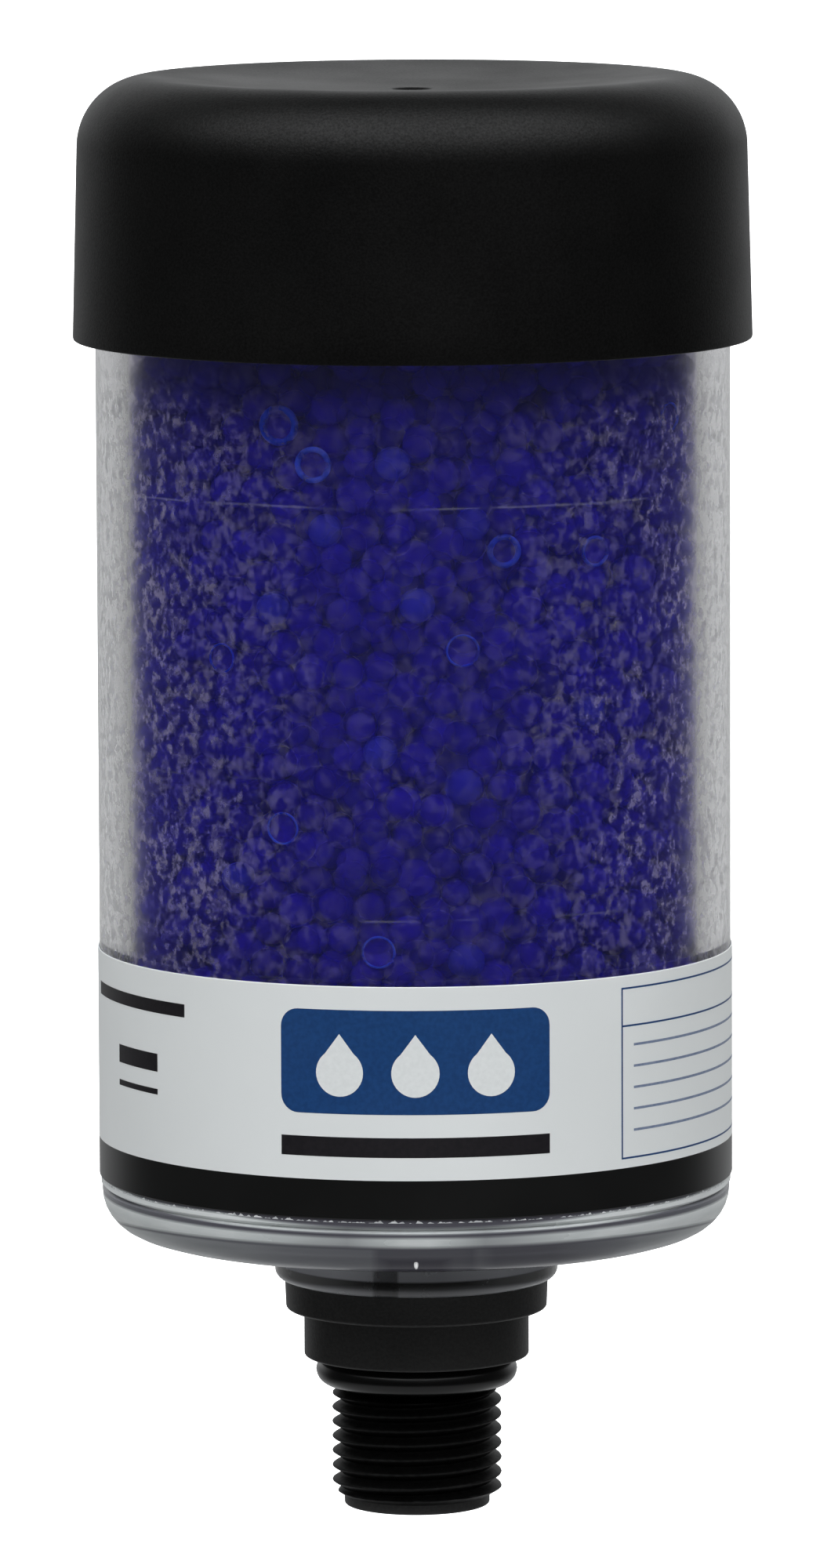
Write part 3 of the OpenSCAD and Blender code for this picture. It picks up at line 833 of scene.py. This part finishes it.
for step in range(STEPS):
    if step % PAIR_STEPS == 0:
        first, second = near_pairs()
    gap = place[first] - place[second]
    dist = np.sqrt((gap ** 2).sum(1)) + 1e-9
    push = np.maximum(radius[first] + radius[second] - dist, 0)[:, None] * gap / dist[:, None] * 0.5
    move = np.zeros_like(place)
    np.add.at(move, first, push)
    np.add.at(move, second, -push)
    place += move * EASE
    rho = np.hypot(place[:, 0], place[:, 1])
    limit = np.clip(rho, R_CORE + radius, TUBE_IR - WALL_GAP - radius)
    place[:, :2] *= (limit / rho)[:, None]
    place[:, 2] = np.clip(place[:, 2], Z_LOW + radius, Z_HIGH - radius)
    place[:held] = fixed


def sphere(level):
    """Vertices and triangles of a ball of radius 1."""
    bm = bmesh.new()
    bmesh.ops.create_icosphere(bm, subdivisions=level, radius=1.0)
    v = np.array([tuple(x.co) for x in bm.verts])
    f = np.array([[x.index for x in face.verts] for face in bm.faces])
    bm.free()
    return v, f


def bead_mesh(name, chosen, level):
    """The chosen beads as one mesh, each turned and stretched a little."""
    ball, tris = sphere(level)
    all_v, all_f = [], []
    for n, i in enumerate(chosen):
        turn = np.array(Matrix.Rotation(rng.uniform(0, TAU), 3, Vector(rng.normal(size=3))))
        stretch = 1 + rng.normal(0, 0.018, 3)
        all_v.append((ball * stretch) @ turn.T * radius[i] + place[i])
        all_f.append(tris + n * len(ball))
    mesh = bpy.data.meshes.new(name)
    mesh.from_pydata((np.concatenate(all_v) * MM).tolist(), [], np.concatenate(all_f).tolist())
    mesh.polygons.foreach_set("use_smooth", [True] * len(mesh.polygons))
    return new_object(name, mesh)


def silica(name, stops, body):
    """Translucent deep blue gel, a little different from bead to bead, with a faintly pitted skin."""
    mat, tree, bsdf = material(name, ior=1.4, specular_ior_level=0.06, alpha=body)
    island = add(tree, "ShaderNodeNewGeometry").outputs["Random Per Island"]
    drive(tree, bsdf,
          base_color=ramp(tree, island, stops),
          roughness=spread(tree, grain(tree, 500, 4), 0.25, 0.45))
    bump(tree, bsdf, grain(tree, 1200, 3), 0.2, 0.00012)
    return mat, tree, bsdf


BLUE_STOPS = [(0.0, (0.030, 0.009, 0.63)), (0.5, (0.037, 0.012, 0.75)), (1.0, (0.047, 0.019, 0.91))]
DEEP_STOPS = [(0.0, (0.026, 0.011, 0.60)), (1.0, (0.036, 0.018, 0.76))]
PALE_STOPS = [(0.0, (0.04, 0.042, 0.78)), (1.0, (0.06, 0.072, 0.92))]
RIM_HIGHLIGHT_STOPS = [(0.0, (0.03, 0.07, 0.66)), (1.0, (0.06, 0.14, 0.86))]
OUTSIDE_DEPTH, FINE_BALL, COARSE_BALL = 2.2, 3, 2

blue_mat, _, _ = silica("silica_blue", BLUE_STOPS, 0.33)
deep_mat, _, _ = silica("silica_deep", DEEP_STOPS, 0.5)
pale_mat, _, _ = silica("silica_pale", PALE_STOPS, 0.44)
rim_highlight_mat, rim_tree, rim_bsdf = silica("silica_rim_highlight", RIM_HIGHLIGHT_STOPS, 0.85)
drive(rim_tree, rim_bsdf, alpha=spread(rim_tree, grain(rim_tree, 420, 2), 0.25, 0.95, 0.36, 0.56))

outside = TUBE_IR - np.hypot(place[:, 0], place[:, 1]) - radius < OUTSIDE_DEPTH
facing = np.arctan2(place[:, 1], place[:, 0])
quarter = np.floor((facing + TAU) % TAU / (TAU / 4)).astype(int)
loose = np.arange(COUNT) >= held
for q, tag in ((1, "back_left"), (2, "front_left"), (3, "front_right"), (0, "back_right")):
    piece = bead_mesh("beads_" + tag, np.nonzero(loose & outside & (quarter == q))[0], FINE_BALL)
    finish_piece(piece, [blue_mat], "blue_silica", *(["silica_bed"] if tag == "back_left" else []))
inner_beads = bead_mesh("beads_inside", np.nonzero(loose & ~outside)[0], COARSE_BALL)
finish_piece(inner_beads, [deep_mat], "blue_silica")
pale_beads = bead_mesh("beads_pale", range(len(SPLIT), held), FINE_BALL)
finish_piece(pale_beads, [pale_mat], "blue_silica")

# Split beads: half shells with a hollow face, and round each a bright rim that is a painted highlight

SPLIT_STEPS, SPLIT_INSET, LIP_DEPTH = 48, 0.28, 0.06


def half_outline(r):
    """A round back, a narrow lip at 0.9 of the radius and a hollow face."""
    out = [(0, -r)] + arc(0, 0, r, -90, -4, 10)[1:] + [(r * 0.97, 0.0), (r * 0.9, -LIP_DEPTH)]
    return out + [(r * t, -LIP_DEPTH - 0.5 * r * (1 - (t / 0.9) ** 2)) for t in (0.75, 0.55, 0.3, 0.0)]


def against_wall(mesh, turn, z):
    """Turns a mesh so that its +Z side faces the wall, and moves it there."""
    verts, faces = mesh
    spin = Matrix.Rotation(math.radians(turn), 3, "Z") @ Matrix.Rotation(math.pi / 2, 3, "X")
    centre = Vector(from_front(turn, TUBE_IR - SPLIT_INSET, z))
    return [tuple(spin @ Vector(v) + centre) for v in verts], faces


halves, rim_highlights = [], []
for turn, z, r, rim in SPLIT:
    halves.append(against_wall(lathe(half_outline(r), SPLIT_STEPS, closed=False), turn, z))
    rim_outline = arc(0.9 * r, -2 * LIP_DEPTH, rim, 0, 330, 11)
    rim_highlights.append(against_wall(lathe(rim_outline, SPLIT_STEPS), turn, z))
finish_piece(make_object("beads_split", *joined(halves)), [blue_mat], "blue_silica")
finish_piece(make_object("beads_split_rim_highlights", *joined(rim_highlights)), [rim_highlight_mat], "blue_silica")

# Core of the bed behind the modelled beads

BED_HOLE, BED_R, BED_EDGE, WAIST_R = 8.3, 34.2, 33.6, 28.0
core_profile = [(BED_HOLE, BED_Z0), (BED_EDGE, BED_Z0), (BED_R, 42.5), (BED_R, 47.4), (32.6, 48.2)]
core_profile += [(WAIST_R, 50.0)]
core_profile += [(WAIST_R, z) for z in np.linspace(53, 131, 12)]
core_profile += [(29.0, 133.5), (BED_R, 134.6), (BED_R, 138.2), (BED_EDGE, BED_Z1), (BED_HOLE, BED_Z1)]
core = make_object("beads_core", *lathe(core_profile, 128))
core_mat, core_tree, core_bsdf = material("silica_core", roughness=0.6)
core_cells = cells(core_tree, 240.0)
core_colour = ramp(core_tree, core_cells, [(0.1, (0.05, 0.035, 0.75)), (0.8, (0.022, 0.014, 0.45))])
drive(core_tree, core_bsdf, base_color=core_colour)
bump(core_tree, core_bsdf, core_cells, 0.6, 0.001)
finish_piece(core, [core_mat], "blue_silica")

# Foam and felt pads: soft discs with rounded, slightly uneven rims

PAD_HOLE, PAD_R, FACE_R0, FACE_R1, PAD_STEPS = 8.2, 34.6, 8.4, 34.3, 160
HOLE_SIDE, RIM_SIDE, FACE_SIDE = 8.3, 34.0, 34.5


def pad(name, z0, z1, uneven):
    """A disc whose faces sink and whose rims draw in by an uneven amount."""
    ring_r = np.linspace(FACE_R0, FACE_R1, 15)
    edge = min(0.9, (z1 - z0) / 3)
    outline = [(PAD_HOLE, z0 + edge)] + [(r, z0) for r in ring_r] + [(PAD_R, z0 + edge)]
    outline += [(PAD_R, z1 - edge)] + [(r, z1) for r in ring_r[::-1]] + [(PAD_HOLE, z1 - edge)]
    verts, faces = lathe(outline, PAD_STEPS)
    out = []
    for x, y, z in verts:
        r = math.hypot(x, y)
        inward = uneven * (0.5 + 0.5 * noise.noise((x * 0.35, y * 0.35, z * 0.5 + z0)))
        scale, rise = 1.0, 0.0
        if r > RIM_SIDE or r < HOLE_SIDE:
            scale = (r - inward * (1 if r > RIM_SIDE else -0.3)) / r
        if HOLE_SIDE < r < FACE_SIDE:
            rise = inward * (1 if z < (z0 + z1) / 2 else -1) * 0.7
        out.append((x * scale, y * scale, z + rise))
    return make_object(name, out, faces, sharp=70)


def foam_material():
    """Open foam with dark pores."""
    mat, tree, bsdf = material("foam_grey", specular_ior_level=0.2, sheen_weight=0.25)
    pores = cells(tree, 900)
    drive(tree, bsdf,
          base_color=ramp(tree, pores, [(0.15, grey(0.012)), (0.6, grey(0.07))]),
          roughness=spread(tree, pores, 0.95, 0.75))
    bump(tree, bsdf, pores, 0.9, 0.0006)
    return mat


def felt_material():
    """Pale felt of fine fibres."""
    mat, tree, bsdf = material("felt_white", specular_ior_level=0.15, sheen_weight=0.4)
    fibre = grain(tree, 1100, 6, (1, 1, 0.35), 0.7)
    drive(tree, bsdf,
          base_color=ramp(tree, fibre, [(0.3, (0.55, 0.54, 0.5)), (0.7, (0.8, 0.79, 0.75))]),
          roughness=spread(tree, fibre, 0.85, 1.0))
    bump(tree, bsdf, fibre, 0.7, 0.0004)
    return mat


foam_mat, felt_mat = foam_material(), felt_material()
for name, node, z0, z1, mat, slot_name, uneven, fill in (
        ("foam_lower", "lower_foam", 32.5, 38.5, foam_mat, "grey_foam", 0.22, 0.9),
        ("felt_lower", "lower_filter", 38.5, 41.5, felt_mat, "white_felt", 0.12, 1.0),
        ("felt_upper", "upper_filter", 139.0, 142.0, felt_mat, "white_felt", 0.12, 1.0),
        ("foam_upper", "upper_foam", 142.0, 148.0, foam_mat, "grey_foam", 0.22, 0.9)):
    piece = pad(name, z0, z1, uneven)
    finish_piece(piece, [mat], slot_name, node)

# Carried-over pieces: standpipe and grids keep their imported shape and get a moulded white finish

moulded_white = cloudy("moulded_white", (70, 4), ((0.62, 0.62, 0.59), (0.72, 0.72, 0.69)), (0.38, 0.5),
                       (1400, 2, 0.12, 0.00005), specular_ior_level=0.45)
for node in ("standpipe", "lower_grid", "upper_grid"):
    nodes[node].data.materials.clear()
    nodes[node].data.materials.append(moulded_white)

# Stage: a plain pale floor, seen from above only

FLOOR_SIZE, FLOOR_LEVEL, FLOOR_GLOW = 6.0, -0.075, 1.1
bm = bmesh.new()
bmesh.ops.create_grid(bm, x_segments=8, y_segments=8, size=FLOOR_SIZE)
floor_mesh = bpy.data.meshes.new("floor")
bm.to_mesh(floor_mesh)
bm.free()
floor = new_object("floor", floor_mesh)
floor.location = (0, 0, FLOOR_LEVEL)
floor_mat, floor_tree, floor_bsdf = material(
    "floor_pale", base_color=(0.9, 0.9, 0.9, 1), roughness=0.9,
    emission_color=(1, 1, 1, 1), emission_strength=FLOOR_GLOW)
behind = add(floor_tree, "ShaderNodeNewGeometry").outputs["Backfacing"]
hole = add(floor_tree, "ShaderNodeBsdfTransparent")
one_sided = add(floor_tree, "ShaderNodeMixShader",
                [(behind, 0), (floor_bsdf.outputs[0], 1), (hole.outputs[0], 2)])
floor_tree.links.new(one_sided.outputs[0], floor_tree.nodes["Material Output"].inputs["Surface"])
floor_mesh.materials.append(floor_mat)
floor.visible_diffuse = floor.visible_glossy = floor.visible_transmission = False

# Light: a surround that is bright behind the part, above its front and on the floor, and dim in front

world = bpy.data.worlds.new("studio")
bpy.context.scene.world = world
world.use_nodes = True
sky = world.node_tree
sky.nodes.clear()
direction = add(sky, "ShaderNodeTexCoord").outputs["Generated"]
axes = add(sky, "ShaderNodeSeparateXYZ", [(direction, "Vector")])


def fade(axis, start, end, low=0.0, high=1.0):
    """A smooth step from low to high along one axis of the direction."""
    return add(sky, "ShaderNodeMapRange", [(axes.outputs[axis], "Value")], interpolation_type="SMOOTHSTEP",
               From_Min=start, From_Max=end, To_Min=low, To_Max=high).outputs["Result"]


rear = combine(sky, "MULTIPLY", fade("Y", 0.42, 0.98), fade("Z", -0.02, 0.07, 0.45, 0.80),
               fade("Z", 0.45, 0.75, 1.0, 0.3), fade("X", -0.6, 0.6, 0.95, 1.07))
canopy = combine(sky, "MULTIPLY", fade("Z", 0.40, 0.70, 0.0, 3.5), fade("Y", -0.15, 0.22, 1.0, 0.0),
                 fade("Z", 0.93, 0.995, 1.0, 0.4))
ground = fade("Z", -0.62, -0.34, 0.50, 0.0)
front = fade("Y", -1.0, 0.1, 0.07, 0.06)
strength = combine(sky, "ADD", rear, canopy, ground, front)
surround = add(sky, "ShaderNodeBackground", [(strength, "Strength")], Color=(0.975, 0.99, 1, 1))
backdrop = add(sky, "ShaderNodeBackground", Color=(1, 1, 1, 1), Strength=1.05)
seen = add(sky, "ShaderNodeLightPath").outputs["Is Camera Ray"]
mix = add(sky, "ShaderNodeMixShader", [(seen, 0), (surround.outputs[0], 1), (backdrop.outputs[0], 2)])
add(sky, "ShaderNodeOutputWorld", [(mix.outputs[0], "Surface")])

# Camera at the photograph's viewing angle

PITCH_DOWN, ROLL, DISTANCE = math.radians(7.1), math.radians(-0.22), 1.3479
aim = Vector((0.00056, 0.0, 0.07448))
camera_data = bpy.data.cameras.new("camera")
camera_data.lens, camera_data.sensor_width = 252.0, 36.0
camera_data.clip_start, camera_data.clip_end = 0.05, 50.0
camera = new_object("camera", camera_data)
camera.location = aim + DISTANCE * Vector((0, -math.cos(PITCH_DOWN), math.sin(PITCH_DOWN)))
camera.rotation_mode = "QUATERNION"
camera.rotation_quaternion = (
    Matrix.Rotation(math.pi / 2 - PITCH_DOWN, 3, "X") @ Matrix.Rotation(ROLL, 3, "Z")).to_quaternion()
bpy.context.scene.camera = camera

scene = bpy.context.scene
scene.view_settings.view_transform = "Standard"
scene.cycles.max_bounces = 14
scene.cycles.transmission_bounces = 12
scene.cycles.glossy_bounces = 6
scene.cycles.diffuse_bounces = 4
scene.cycles.transparent_max_bounces = 32
scene.cycles.caustics_reflective = True
scene.cycles.caustics_refractive = True
